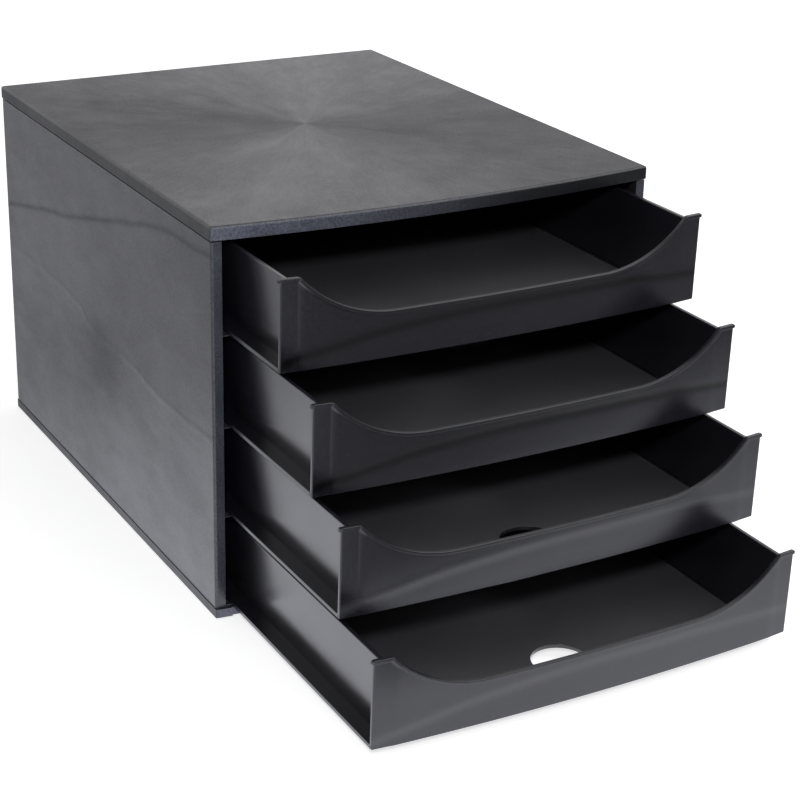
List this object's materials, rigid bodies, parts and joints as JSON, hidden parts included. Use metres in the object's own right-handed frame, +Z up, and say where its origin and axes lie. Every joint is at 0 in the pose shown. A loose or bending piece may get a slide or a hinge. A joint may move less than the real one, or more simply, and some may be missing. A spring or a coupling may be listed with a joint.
{
  "type": "letter tray stack with drawers",
  "caption": "Desktop letter unit with a dark plastic casing and sliding trays, each with a scooped, bowed front and a thumb hole in its floor.",
  "frame": {"origin": "the middle of the floor area that the unit covers with its trays out as drawn, on the surface that the feet stand on", "axes": "+X to the right, +Y to the rear (the trays slide out along -Y), +Z up"},
  "size_m": [0.284, 0.5242, 0.2348],
  "materials": {
    "casing_plastic": "fine-grained matt polystyrene",
    "side_plastic": "semi-gloss polystyrene with faint moulding marks",
    "tray_plastic": "semi-gloss polystyrene",
    "pad_rubber": "matt rubber"
  },
  "bodies": {
    "casing": {"top_panel": "casing_plastic", "base_panel": "casing_plastic", "left_side_panel": "side_plastic", "right_side_panel": "side_plastic", "back_panel": "side_plastic", "foot_front_left": "pad_rubber", "foot_front_right": "pad_rubber", "foot_rear_left": "pad_rubber", "foot_rear_right": "pad_rubber"},
    "tray_1": {"tray_1": "tray_plastic"},
    "tray_2": {"tray_2": "tray_plastic"},
    "tray_3": {"tray_3": "tray_plastic"},
    "tray_4": {"tray_4": "tray_plastic"}
  },
  "joints": [
    {"name": "tray_1_slide", "type": "slide", "parent": "casing", "child": "tray_1", "axis": [0, -1, 0], "range_m": [-0.0639, 0.1761]},
    {"name": "tray_2_slide", "type": "slide", "parent": "casing", "child": "tray_2", "axis": [0, -1, 0], "range_m": [-0.1014, 0.1386]},
    {"name": "tray_3_slide", "type": "slide", "parent": "casing", "child": "tray_3", "axis": [0, -1, 0], "range_m": [-0.133, 0.107]},
    {"name": "tray_4_slide", "type": "slide", "parent": "casing", "child": "tray_4", "axis": [0, -1, 0], "range_m": [-0.1694, 0.0706]}
  ]
}
